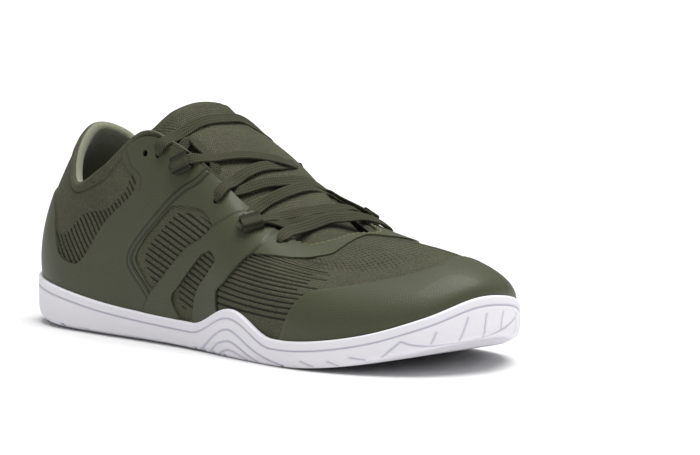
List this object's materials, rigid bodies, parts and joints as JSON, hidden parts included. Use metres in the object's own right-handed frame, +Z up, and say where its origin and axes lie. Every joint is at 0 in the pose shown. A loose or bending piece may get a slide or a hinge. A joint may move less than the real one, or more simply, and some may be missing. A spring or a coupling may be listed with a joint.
{
  "type": "barefoot shoe",
  "caption": "Low barefoot training shoe with a hollow knit upper, film overlays, a padded tongue, crossed flat laces on webbing loops, and a thin flat rubber sole with a raised side wave.",
  "frame": {"origin": "On the floor, under the middle of the shoe's bounding box", "axes": "+X to the toe, +Y to the inner side of the foot, +Z up"},
  "size_m": [0.2726, 0.1008, 0.1038],
  "materials": {
    "outsole": "matt, cool white",
    "upper": "brown-olive knit",
    "film": "satin dark olive film",
    "insole": "dark woven cloth",
    "tongue": "brown-olive mesh",
    "lace": "flat herringbone weave",
    "webbing": "ribbed webbing"
  },
  "bodies": {
    "root": {"outsole": "outsole", "upper": "upper", "quarter_film": "film", "toe_guard": "film", "insole": "insole", "tongue": "tongue", "lace_bottom": "lace", "lace_top": "lace", "lace_crossings": "lace", "webbing_loop_rear_outer": "webbing", "webbing_loop_rear_inner": "webbing", "webbing_loop_front_outer": "webbing", "webbing_loop_front_inner": "webbing"}
  },
  "joints": []
}
